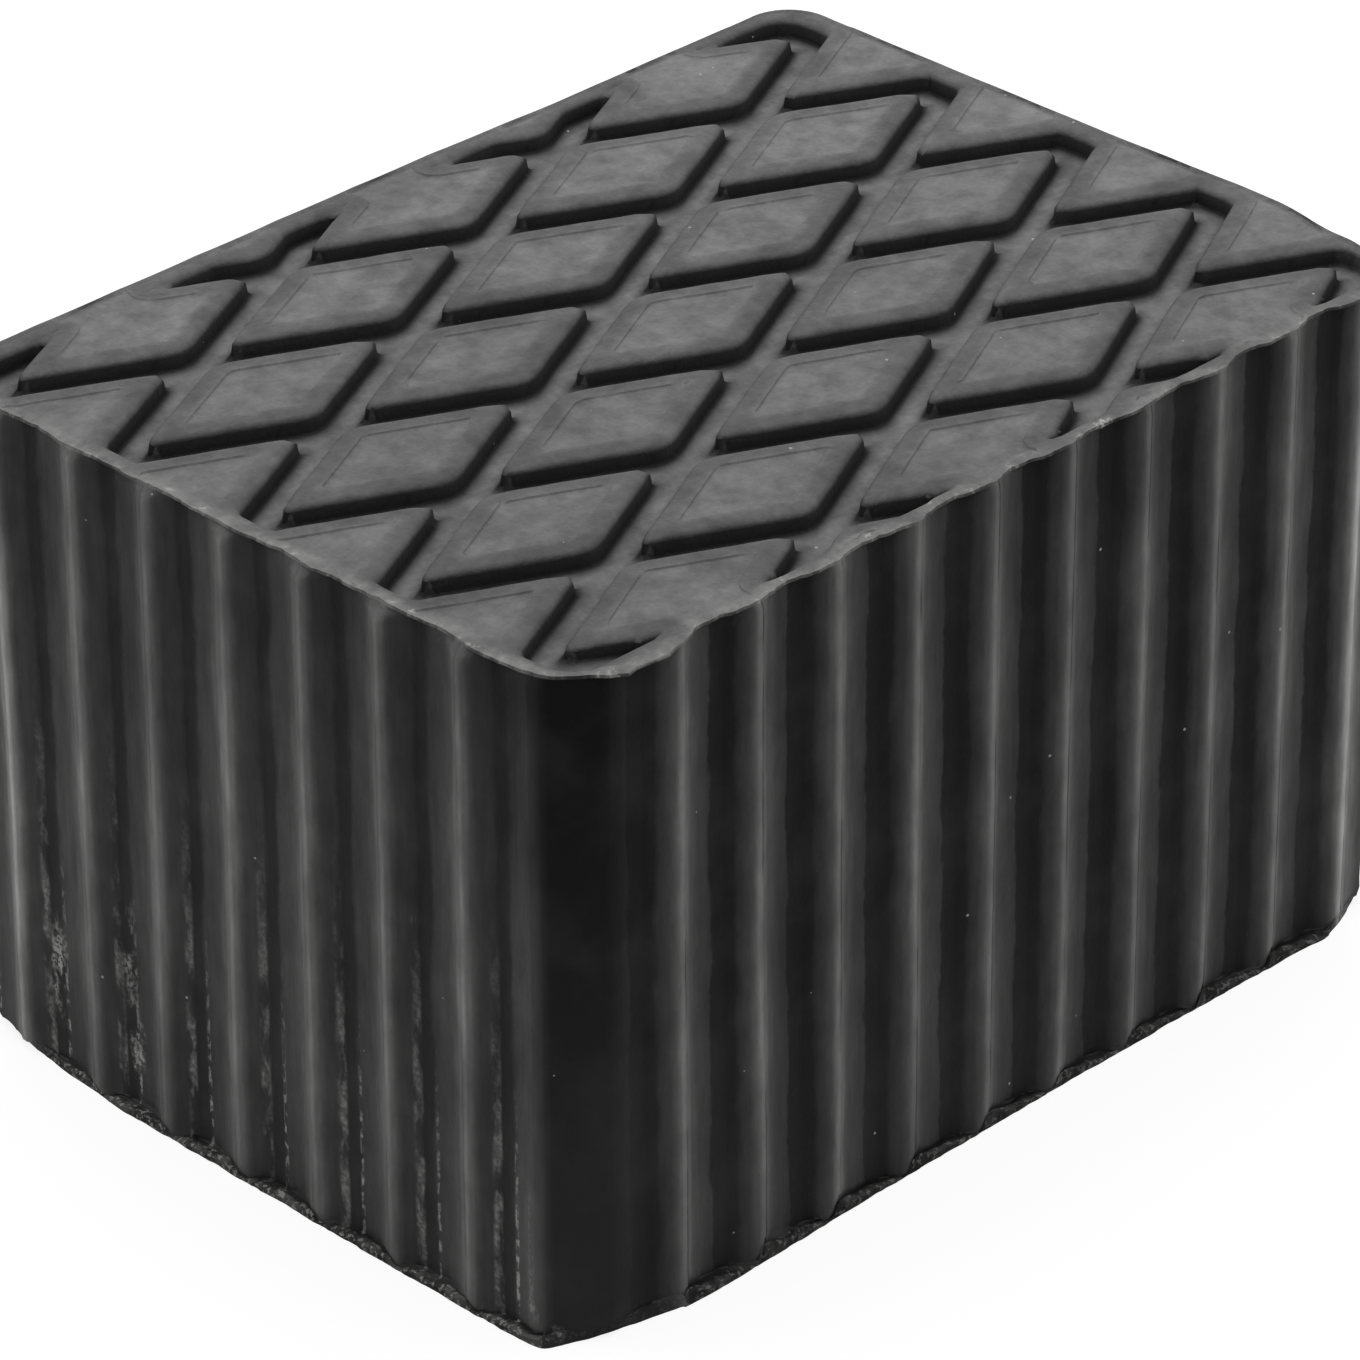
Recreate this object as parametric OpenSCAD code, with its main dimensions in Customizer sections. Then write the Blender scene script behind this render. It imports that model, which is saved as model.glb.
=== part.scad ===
// Rubber pad for the arm of a car lift: one moulded block with fluted sides
// and a tread of raised lozenges on top.
// Millimetres. X runs along the long side, Y along the short side, Z is up.
// The origin is the centre of the underside.

/* [Part] */
// the node to draw

/* [Block] */
// length over the flute crests
body_l = 160; // [150:1:200]
// width over the flute crests
body_w = 118; // [110:0.5:150]
// height from the underside to the lozenge rims
body_h = 97; // [60:0.5:120]
// radius of the upright corners
corner_r = 13.5; // [10:0.5:16]

/* [Flutes] */
// distance from one crest to the next, on all four sides
flute_pitch = 14.2; // [12:0.1:16]
// flat land left on each crest
crest_w = 0.9; // [0.5:0.1:2]
// depth of a flute below its crests
flute_depth = 1.5; // [0.8:0.1:2.5]
// flat floor of a flute
floor_w = 3.4; // [2:0.1:5]
// first crest of the long sides, from the front corner
first_long = 19.2; // [16:0.1:20]
// first crest of the short sides, from the front corner
first_short = 18.8; // [16:0.1:20]
// skin left over the flute ends on the two far sides
skin_t = 0.6; // [0.4:0.1:1.5]
// radius of that skin's corner, where the two far sides meet
skin_r = 8; // [4:0.5:8]

/* [Base lip] */
// thickness of the moulding lip round the underside
lip_t = 1.5; // [1:0.1:3]
// how far the lip stands out past the crests
lip_out = 0.7; // [0.4:0.1:1.5]

/* [Tread] */
// lozenge spacing along the long side
cell_l = 51.4; // [48:0.2:56]
// lozenge spacing along the short side
cell_w = 25.06; // [23.5:0.02:27]
// width of a groove
groove_w = 4.8; // [3:0.1:6]
// depth of a groove
groove_d = 3.2; // [1.5:0.1:5]
// tip radius of a lozenge
tip_r = 1; // [0.5:0.1:2]
// rim kept at each long edge of the top
edge_l = 4; // [3:0.1:8]
// rim kept at each short edge of the top
edge_w = 3; // [3:0.1:6]
// corner radius of the grooved field
field_r = 5; // [2:0.5:8]
// width of the raised rim round each lozenge
rim_w = 2.9; // [2:0.1:4]
// depth of the panel inside the rim
panel_d = 0.3; // [0.1:0.05:0.8]

/* [Hidden] */
$fn = 48;
// the grooved field, as half sizes
field_x = body_l / 2 - edge_l;
field_y = body_w / 2 - edge_w;
// half diagonals of a lattice cell, and the unit normal of its sides
half_l = cell_l / 2;
half_w = cell_w / 2;
side = norm([half_l, half_w]);
nx = half_w / side;
ny = half_l / side;
// distance between opposite sides of a cell and of a lozenge
cell_across = 2 * half_l * half_w / side;
stud_k = 1 - groove_w / cell_across;
panel_k = stud_k - 2 * rim_w / cell_across;
stud_l = half_l * stud_k;
stud_w = half_w * stud_k;
// half widths of the border lozenges where the field's edge cuts them
cut_short = stud_w * (1 - abs(3 * half_l - field_x) / stud_l);
cut_long = stud_l * (1 - abs(4 * half_w - field_y) / stud_w);
// arc round a groove's end, a hair over the rim so that it meets the panel's sides
end_r = 1.01 * rim_w;
// flute arc through both crest edges and both floor edges
half_flute = (flute_pitch - crest_w) / 2;
arc_e = (pow(half_flute, 2) - pow(floor_w / 2, 2) - pow(flute_depth, 2)) / (2 * flute_depth);
arc_r = norm([half_flute, arc_e]);
// flutes on each side, with a part flute at both ends
flutes_long = ceil((body_l - first_long) / flute_pitch);
flutes_short = ceil((body_w - first_short) / flute_pitch);

module rounded(l, w, r) {
    square([l - 2 * r, w], center = true);
    square([l, w - 2 * r], center = true);
    for (sx = [-1, 1], sy = [-1, 1])
        translate([sx * (l / 2 - r), sy * (w / 2 - r)])
            circle(r);
}

// one flute, cut into the edge y = 0 from below: an arc with a flat floor
module flute() {
    intersection() {
        translate([0, -arc_e])
            circle(arc_r, $fn = 96);
        translate([-flute_pitch, -4])
            square([2 * flute_pitch, 4 + flute_depth]);
    }
}

// a row of flutes along an edge that starts at x = 0
module flute_row(first, count) {
    for (i = [0 : count])
        translate([first + (i - 0.5) * flute_pitch, 0])
            flute();
}

// the block's outline, drawn out at the far corner to the skin's smaller radius
module skin_outline() {
    rounded(body_l, body_w, corner_r);
    translate([body_l / 2 - corner_r, body_w / 2 - corner_r])
        rounded(2 * corner_r, 2 * corner_r, skin_r);
}

module near_flutes() {
    translate([-body_l / 2, -body_w / 2])
        flute_row(first_long, flutes_long);
    translate([-body_l / 2, -body_w / 2])
        mirror([1, -1])
            flute_row(first_short, flutes_short);
}

module far_flutes() {
    translate([-body_l / 2, body_w / 2])
        mirror([0, 1])
            flute_row(first_long, flutes_long);
    translate([body_l / 2, -body_w / 2])
        mirror([1, 0])
            mirror([1, -1])
                flute_row(first_short, flutes_short);
}

// a lozenge with k times the cell's half diagonals and its sharp tips rounded
module lozenge(k, r) {
    // the tip circle touches both sides where the polygon is cut
    tip = half_l * k - r / nx;
    cut_x = tip + r * nx;
    cut_y = r * ny;
    polygon([[cut_x, cut_y], [0, half_w * k], [-cut_x, cut_y],
             [-cut_x, -cut_y], [0, -half_w * k], [cut_x, -cut_y]]);
    for (s = [-1, 1])
        translate([s * tip, 0])
            circle(r);
}

// cells of the lattice; the four at the field's corners stay empty
cells = [for (i = [-3 : 3], j = [-5 : 5])
            if (abs(i + j) % 2 == 0 && !(abs(i) == 3 && abs(j) == 5)) [i, j]];

module lozenges(k, r) {
    for (c = cells)
        translate([c[0] * half_l, c[1] * half_w])
            lozenge(k, r);
}

module grooves() {
    difference() {
        rounded(2 * field_x, 2 * field_y, field_r);
        lozenges(stud_k, tip_r);
    }
}

// a panel cut by the field's edge y = 0 runs out over it to the block's edge,
// between two arcs round the groove ends: c is half the lozenge's width at the
// field's edge, and its sides meet the arcs b rim widths beyond that edge
module run_out(c, b, out) {
    difference() {
        union() {
            children();
            translate([-c, b * rim_w])
                square([2 * c, out - b * rim_w]);
        }
        for (s = [-1, 1])
            translate([s * c, 0])
                circle(end_r);
    }
}

module panels() {
    // whole lozenges
    for (c = cells)
        if (abs(c[0]) < 3 && abs(c[1]) < 4)
            translate([c[0] * half_l, c[1] * half_w])
                lozenge(panel_k, tip_r / 2);
    // lozenges cut by the short sides of the field: their sides still spread there,
    // so a larger lozenge with the same tip carries them on
    for (s = [-1, 1], j = [-3 : 2 : 3])
        translate([s * field_x, j * half_w])
            rotate(-90 * s)
                run_out(cut_short, nx, 2 * edge_l)
                    translate([0, 3 * half_l - field_x + half_l * 0.1])
                        rotate(90)
                            lozenge(panel_k + 0.1, tip_r / 2);
    // lozenges cut by the long sides of the field
    for (s = [-1, 1], i = [-2 : 2 : 2])
        translate([i * half_l, s * field_y])
            mirror([0, s < 0 ? 1 : 0])
                run_out(cut_long, -ny, 2 * edge_w)
                    translate([0, 4 * half_w - field_y])
                        lozenge(panel_k, tip_r / 2);
}

module rubber_block() {
    color("#232323")
        difference() {
            union() {
                linear_extrude(lip_t)
                    rounded(body_l + 2 * lip_out, body_w + 2 * lip_out, corner_r + lip_out);
                linear_extrude(body_h)
                    difference() {
                        rounded(body_l, body_w, corner_r);
                        near_flutes();
                        far_flutes();
                    }
                // skin over the far flutes, flush with the top
                translate([0, 0, body_h - skin_t])
                    linear_extrude(skin_t)
                        difference() {
                            skin_outline();
                            near_flutes();
                        }
            }
            translate([0, 0, body_h - groove_d])
                linear_extrude(groove_d + 1)
                    grooves();
            translate([0, 0, body_h - panel_d])
                linear_extrude(panel_d + 1)
                    panels();
        }
}

rubber_block();
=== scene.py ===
import math
from functools import partial
import bpy
import numpy as np
from mathutils import Matrix, Vector
from mathutils.geometry import delaunay_2d_cdt


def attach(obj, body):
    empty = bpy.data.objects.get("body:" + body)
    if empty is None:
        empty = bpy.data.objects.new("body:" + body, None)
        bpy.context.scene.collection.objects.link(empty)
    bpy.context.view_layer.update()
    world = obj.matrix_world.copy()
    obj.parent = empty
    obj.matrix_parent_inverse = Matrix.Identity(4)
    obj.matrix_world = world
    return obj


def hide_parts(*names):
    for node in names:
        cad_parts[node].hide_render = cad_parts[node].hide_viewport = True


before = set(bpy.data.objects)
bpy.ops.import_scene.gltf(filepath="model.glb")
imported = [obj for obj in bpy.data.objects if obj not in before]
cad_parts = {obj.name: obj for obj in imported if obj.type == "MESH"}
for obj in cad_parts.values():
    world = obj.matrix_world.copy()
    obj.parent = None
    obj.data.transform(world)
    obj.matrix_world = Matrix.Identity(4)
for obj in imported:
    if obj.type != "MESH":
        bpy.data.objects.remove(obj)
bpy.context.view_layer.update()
print("frame loaded:", sorted(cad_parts))

# The pad in millimetres, in the frame of the CAD: origin at the centre of the
# underside, X along the long side, Z up. Its front corner is the one at -X and -Y.
pad = {
    "long": 160.0, "wide": 118.0, "high": 97.0,
    "corner": 13.5,          # radius of the upright corners
    "skinCorner": 7.5,       # radius of the top skin where the far sides meet
    "pitch": 14.2,           # flute spacing
    "crest": 0.9,            # land on a crest
    "depth": 1.5,            # flute depth
    "floor": 3.4,            # flat floor of a flute
    "firstLong": 19.2, "firstShort": 18.8,    # first crest, from the front corner
    "crestsLong": 10, "crestsShort": 7,
    "lip": 0.7,              # how far the moulding lip stands out
    "columnStep": 0.75,      # spacing of the side's columns
    "crestColumns": (0, 0.2, 0.45, 0.7, 1.1),    # columns beside a crest
    "floorColumns": (1.7, 1.95),                 # and beside the middle of a floor
    "cornerColumns": 14,
    "sharpAngle": 32,        # degrees
}
pitch = pad["pitch"]


# Value noise: random numbers on a lattice of the given size, blended smoothly
# between its corners. Points are rows of three, in millimetres; result -1 to 1.
def softNoise(points, size, seed):
    q = np.asarray(points, float) / size
    cell = np.floor(q).astype(np.int64)
    f = q - cell
    f = f * f * (3 - 2 * f)
    table = np.random.default_rng(seed).uniform(-1, 1, 8192)
    total = np.zeros(len(q))
    for corner in np.ndindex(2, 2, 2):
        share = np.abs(1 - np.array(corner) - f)
        key = np.bitwise_xor.reduce((cell + corner) * [73856093, 19349663, 83492791], axis=1)
        total += share[:, 0] * share[:, 1] * share[:, 2] * table[key % 8192]
    return total


# An even value plus noises, each given as its strength, size in mm and seed.
def noiseSum(points, noises, even=0):
    return sum((strength * softNoise(points, size, seed) for strength, size, seed in noises), even)


# From 0 below the low value to 1 above the high one, with level ends.
def smooth(x, low, high):
    t = np.clip((x - low) / (high - low), 0, 1)
    return t * t * (3 - 2 * t)


# Value at x, linear between a table's rows of place and value.
def readTable(x, table):
    places, values = np.array(table).T
    return np.interp(x, places, values)


# The four sides in order round the block, each as start corner, direction along
# it, outward direction, length, the places of its crests along it, and if it is near.
def blockSides():
    l, w = pad["long"], pad["wide"]
    longCrests = pad["firstLong"] + pitch * np.arange(pad["crestsLong"])
    shortCrests = pad["firstShort"] + pitch * np.arange(pad["crestsShort"])
    return [
        ((-l / 2, -w / 2), (1, 0), (0, -1), l, longCrests, True),
        ((l / 2, -w / 2), (0, 1), (1, 0), w, shortCrests, False),
        ((l / 2, w / 2), (-1, 0), (0, 1), l, (l - longCrests)[::-1], False),
        ((-l / 2, w / 2), (0, -1), (-1, 0), w, (w - shortCrests)[::-1], True),
    ]


# Depth of the rounded corners below the crest plane at t along a side: the radius
# less the height of a circle's arc.
def cornerDepth(t, length):
    r = pad["corner"]
    near = np.clip(r - np.minimum(t, length - t), 0, r)
    return r - np.sqrt(np.maximum(r ** 2 - near ** 2, 0))


# Depth of the side at t along it: the larger of the corner's arc and of the flute, a
# circular arc with a flat floor between crests.
def sideDepth(t, length, crests):
    half = (pitch - pad["crest"]) / 2
    centre = (half ** 2 - (pad["floor"] / 2) ** 2 - pad["depth"] ** 2) / (2 * pad["depth"])
    radius = math.hypot(half, centre)
    edges = np.concatenate(([crests[0] - pitch], crests, [crests[-1] + pitch]))
    middle = (edges[:-1] + edges[1:]) / 2
    off = np.min(np.abs(t[:, None] - middle[None, :]), axis=1)
    flute = np.where(off < half, np.sqrt(np.maximum(radius ** 2 - off ** 2, 0)) - centre, 0)
    return np.maximum(cornerDepth(t, length), np.clip(flute, 0, pad["depth"]))


# Columns of one side: the corner arcs by angle, the crest and floor edges of each
# flute, and even steps between them.
def sideColumns(length, crests):
    r = pad["corner"]
    arc = r - r * np.sin(np.radians(np.linspace(45, 0, pad["cornerColumns"])))
    floors = np.append(crests - pitch / 2, crests[-1] + pitch / 2)
    marks = [r, length - r]
    for middles, offsets in ((crests, pad["crestColumns"]), (floors, pad["floorColumns"])):
        for offset in offsets:
            marks += [*(middles - offset), *(middles + offset)]
    marks = np.unique([m for m in marks if r <= m <= length - r])
    parts = [arc]
    for a, b in zip(marks[:-1], marks[1:]):
        n = max(1, int(math.ceil((b - a) / pad["columnStep"] - 1e-6)))
        parts.append(np.linspace(a, b, n + 1)[1:])
    parts.append((length - arc)[::-1][1:-1])
    return np.unique(np.round(np.concatenate(parts), 5))


# How far each near crest stands past its even place, by distance from the front
# corner: at the base, at half height and at the top.
lean = {
    "heights": (15, 50, 80),
    "long": [
        (0, 0, 0, 0), (19.2, 0.75, 0.5, 0.5), (33.4, 0.8, 0, -0.1), (47.6, 0.22, -0.1, -0.2),
        (61.8, 0.2, -0.1, -0.25), (76, 0.15, 0, -0.2), (90.2, 0.1, -0.2, -0.1), (104.4, 0.1, 0, 0),
        (118.6, 0, -0.2, -0.3), (132.8, 0, -0.2, 0), (147, 0, 0, 0), (160, 0, 0, 0)],
    "short": [
        (0, 0, 0, 0), (18.8, 0, -0.1, -0.1), (33, 0.1, 0.1, 0.1), (47.2, 0.05, 0, -0.1),
        (61.4, 0.6, 0.1, 0), (75.6, 0.6, 0.2, 0.1), (89.8, 0, 0, 0), (104, 0.5, 0, 1.05),
        (118, 0, 0, 0)],
}


# Linear between the table's heights, then between its crests.
def crestLean(f, z, table):
    return readTable(f, [(row[0], np.interp(z, lean["heights"], row[1:])) for row in table])


# Bloom along the long and the short sides, with painted highlights: where it sets in past the front corner,
# and the near crests that are painted paler than the rest, where side light grazes them, as place, half
# width and strength.
bloomAndHighlightAlong = {
    "long": {"from": (9, 15), "pale": ((147.0, 1.1, 1.1), (150.2, 1.5, 0.8))},
    "short": {"from": (6.0, 8.8), "pale": ((104.0, 1.1, 0.8),)},
    # farEnd: a painted highlight, where side light grazes the crests towards the far end
    "farEnd": 0.35,          # how much it grows over the last third
    "fromEnd": 3,
}


# The columns round the block: each one's base point, the directions inward and to the
# front corner, the side's depth, the distance f from the photo's front end of its side,
# the distance past a crest, and the bloom with its painted highlights.
def sideGrid():
    parts = []
    for k, (start, along, out, length, crests, isNear) in enumerate(blockSides()):
        t = sideColumns(length, crests)
        n = len(t)
        isLong, forward = k in (0, 2), k in (0, 1)
        f = t if forward else length - t
        first = crests[0] if forward else length - crests[-1]
        known = bloomAndHighlightAlong["long" if isLong else "short"]
        pale = sum(share * np.exp(-((f - at) / half) ** 2) for at, half, share in known["pale"])
        ends = smooth(f, *known["from"]) * smooth(length - f, 0, bloomAndHighlightAlong["fromEnd"])
        between = (f > first - pitch) & (f < length - 3)
        parts.append({
            "base": np.array(start) + t[:, None] * np.array(along),
            "inward": np.tile(-np.array(out, float), (n, 1)),
            "toFront": np.tile(np.array(along, float) * (-1 if forward else 1), (n, 1)),
            "depth": sideDepth(t, length, crests),
            "f": f,
            "after": np.where(between, np.mod(f - first, pitch), 7.0),
            "bloom": ends * (1 + bloomAndHighlightAlong["farEnd"] * smooth(f / length, 0.7, 1) + pale * isNear),
            "near": np.full(n, isNear),
            "isLong": np.full(n, isLong),
            "side": np.full(n, k),
        })
    return {name: np.concatenate([part[name] for part in parts]) for name in parts[0]}


# Rows of the side by the lip: height, share of the base lip, of a torn base's bevel,
# of the lip's colour, of the painted shade in the recess behind it, and of the crumbling
# inward and upward. Below 2 mm the heights stretch with the lip's own height.
lipRows = [
    (0, 0.96, 1, 1, 0, 0, 0), (0.2, 1, 0.85, 1, 0, 0, 0), (0.75, 1, 0.6, 1, 0, 1, 0),
    (1.2, 0.97, 0.4, 1, 0, 1, 0), (1.44, 0.86, 0.28, 1, 0, 1, 1), (1.5, 0.66, 0.22, 1, 0, 1, 1),
    (1.42, 0.42, 0.16, 1, 0.8, 1, 1), (1.26, 0.2, 0.12, 0, 1, 1, 1), (1.24, 0.04, 0.1, 0, 1, 1, 1),
    (1.6, 0, 0.06, 0, 0.5, 1, 1), (2.1, 0, 0.02, 0, 0, 0, 1)]
plainRows = (3, 4.4, 6, 8.5, 12.5, 18, 26, 38, 52, 66, 76, 83, 88, 91.2, 93, 94, 94.8, 95.5, 96.05, 96.3)
flashRows = [(96.42, 0.75), (96.58, 1.0), (96.80, 1.0), (96.93, 0.93)]    # height, share of the flash
sideRows = [(*row, 0) for row in lipRows]
sideRows += [(z, *[0] * 6, share) for z, share in [(z, 0) for z in plainRows] + flashRows]

# The torn flash along the top edge, in mm: how far it stops short of the crest plane
# (negative stands out past it). A noise is a strength, a size and a seed.
flash = {
    "rough": ((0.32, 3.6, 11), (0.22, 1.5, 12), (0.12, 0.7, 16)),
    # bitten out over the long side's flutes, by share of the pitch past a crest
    "bite": [(0, 0), (0.04, 0.1), (0.12, 0.6), (0.26, 1.15), (0.56, 1.15), (0.66, 0.5), (0.9, 0.3), (1, 0)],
    "biteShare": 0.95, "biteNoise": ((0.3, 17, 13),),
    "leftEven": 0.9, "leftNoise": ((0.45, 9, 14), (0.3, 4.5, 17)),
    "farNoise": ((0.1, 12, 15),),
    # how far the far sides are worn back: by the right end, with where that sets in and
    # fades; along that side, least, more and where it grows; and on the long side
    "wornRight": (2, (2, 9), (14, 27)), "wornShort": (0.25, 0.55, (28, 60)), "wornLong": (0.8, (85, 115)),
    "wornHeights": (84, 96.3), "bevelHeights": (95.2, 96.9),
    # chamfer on the left side's crests: its base, slope, and where it ends
    "chamferBase": 94.7, "chamferSlope": 0.62, "chamferEnds": (68, 84),
    # by distance from the front corner, and the stretch where it gives way to the rest
    "frontLong": [
        (2.9, 4.9), (4.3, 3.5), (5.3, 2.75), (6.1, 2), (6.9, 1.1), (7.6, 0.2), (8.8, -0.4),
        (9.5, -1.1), (11.6, -0.8), (16, -1.2), (18, -0.5), (21.3, 0.2)],
    "frontLongEnds": (19.5, 22.5),
    "frontLeft": [
        (2.9, 4.4), (4.4, 3.4), (5.2, 2.6), (6.4, 2.1), (7.8, 1.7), (9, 1.3), (12.3, 1.1),
        (15, 0.7), (18.8, 0.5)],
    "frontLeftEnds": (16, 19),
}


# Top edge: the flash's depth at each column, how far the far sides are worn back, and
# the edge's points. Past the far corner the skin is drawn out to its own smaller radius,
# so there a point is where the ray from the corner's centre meets that arc or the flat.
def topEdge(g, base3, cornerArc):
    f, side = g["f"], g["side"]
    rough = noiseSum(base3, flash["rough"])
    first = np.where(g["isLong"], pad["firstLong"], pad["firstShort"])
    bite = readTable(np.mod(f - first, pitch) / pitch, flash["bite"])
    depths = []
    for even, table, ends in (
            (bite * noiseSum(base3, flash["biteNoise"], flash["biteShare"]), "frontLong", "frontLongEnds"),
            (noiseSum(base3, flash["leftNoise"], flash["leftEven"]), "frontLeft", "frontLeftEnds")):
        w = 1 - smooth(f, *flash[ends])
        depths.append((even + rough) * (1 - w) + (readTable(f, flash[table]) + 0.5 * rough) * w)
    right, sets, fades = flash["wornRight"]
    least, more, grows = flash["wornShort"]
    far, farGrows = flash["wornLong"]
    worn = np.select([side == 1, side == 2], [
        right * (1 - smooth(f, *fades)) * smooth(f, *sets) + least + more * smooth(f, *grows),
        far * smooth(f, *farGrows)], 0)
    depth = np.select([side == 0, side == 3], depths, noiseSum(base3, flash["farNoise"], cornerArc + worn))
    depth = np.where(g["near"] & (f > 30), np.maximum(depth, cornerArc), depth)
    points = g["base"] + depth[:, None] * g["inward"]
    corner, r = pad["corner"], pad["skinCorner"]
    middle = np.array([pad["long"] / 2 - corner, pad["wide"] / 2 - corner])
    arm = g["base"] + cornerArc[:, None] * g["inward"] - middle
    atFar = (arm > 0).all(axis=1)
    unit = arm / np.maximum(np.hypot(arm[:, 0], arm[:, 1]), 1e-6)[:, None]
    shift = corner - r
    dot = shift * unit.sum(axis=1)
    reach = dot + np.sqrt(np.maximum(dot ** 2 - 2 * shift ** 2 + r ** 2, 0))
    flat = corner / np.maximum(unit.max(axis=1), 0.1)
    reach = np.where(flat * unit.min(axis=1) < shift, flat, reach)
    points[atFar] = middle + ((reach - 0.1 - worn)[:, None] * unit)[atFar]
    return depth, worn, points


# The base lip of the two near sides, by distance from the front corner: how far inside
# the crest plane it runs (negative stands out past it). It is torn off at the front
# corner and at both far ends, and crumbled between. Its height is by distance past a crest.
foot = {
    "long": [
        (3.7, 4.05), (5.7, 3.2), (7.9, 2.5), (10.1, 1.9), (12.3, 1.25), (14.7, 0.7), (16.9, 0.05),
        (19.2, -0.5), (21.7, -0.8), (24.4, -1), (30.5, -0.85), (40, -0.6), (50, -0.4), (60, -0.3),
        (70, -0.2), (80, -0.1), (90, -0.1), (100, -0.2), (110, -0.25), (120, -0.35), (130, -0.55),
        (140, -0.85), (143.5, -1.15), (145.5, -0.8), (147.4, 0.1), (149.4, 1), (152.2, 2.3),
        (154.1, 3.3), (156.1, 4.4)],
    "short": [
        (3.9, 4), (4.4, 2.8), (4.9, 1.7), (5.3, 0.7), (6.5, 0.1), (7.5, -0.3), (10, -0.4),
        (15, -0.6), (84, -0.65), (87.7, -0.4), (91, -0.15), (95, 0.3), (98.7, 0.75), (102.6, 1.3),
        (106.9, 2.2), (111.6, 3.6), (114.1, 4.6)],
    "tallLong": [
        (0, 0.3), (0.35, 0.5), (0.8, 2.3), (1.5, 2.2), (4.5, 1.3), (9, 0.65), (12, 0.3), (14.2, 0.3)],
    "tallShort": [
        (0, 0.4), (0.4, 0.7), (0.9, 1.2), (5, 1.15), (9.5, 1), (11.5, 0.6), (13, 0.3), (14.2, 0.4)],
    # a crest's foot: how far it flares out and bends, up to a height, by its half width
    "flare": 0.5, "flareTop": 6.5, "flareHalf": 1.5,
    "bendLong": 1.9, "bendLeft": 1.0, "bendTop": 4.5, "bendHalf": 2.6,
    "rowsTall": 1.5,         # lip height that the rows are drawn for
    "tornTall": 1.3,         # share of it that a torn base keeps
    "crumbs": ((0.12, 3.1, 21), (0.10, 1.1, 22)),
    "tallNoise": ((0.16, 2.3, 23), (0.12, 0.8, 24)),
    "slitNoise": ((0.9, 6, 25),),
    "crumbleIn": ((0.16, 1.3, 31), (0.14, 0.6, 32)),
    "crumbleUp": ((0.14, 1.0, 33),),
}


# Depth of the lip, share torn off and stretch of its rows' height, for each column. The
# torn ends run on round the corners to the far sides.
def baseLip(g, base3, cornerArc):
    f, side = g["f"], g["side"]
    onward = np.exp(-(np.where(g["near"], 99, f) / 7) ** 2)
    lip = np.select([side == 0, side == 3], [readTable(f, foot["long"]), readTable(f, foot["short"])],
                    cornerArc - pad["lip"])
    lip = lip + 0.9 * onward - noiseSum(base3, foot["crumbs"])
    torn = np.select(
        [side == 0, side == 3],
        [1 - smooth(f, 18, 21) + smooth(f, 144.5, 148), 1 - smooth(f, 5.2, 7) + smooth(f, 97, 103)],
        smooth(onward, 0.1, 0.5))
    tall = np.where(g["isLong"], readTable(g["after"], foot["tallLong"]),
                    readTable(g["after"], foot["tallShort"])) / foot["rowsTall"]
    tall = tall * noiseSum(base3, foot["tallNoise"], 1)
    return lip, torn, tall * (1 - torn) + foot["tornTall"] * torn


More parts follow.
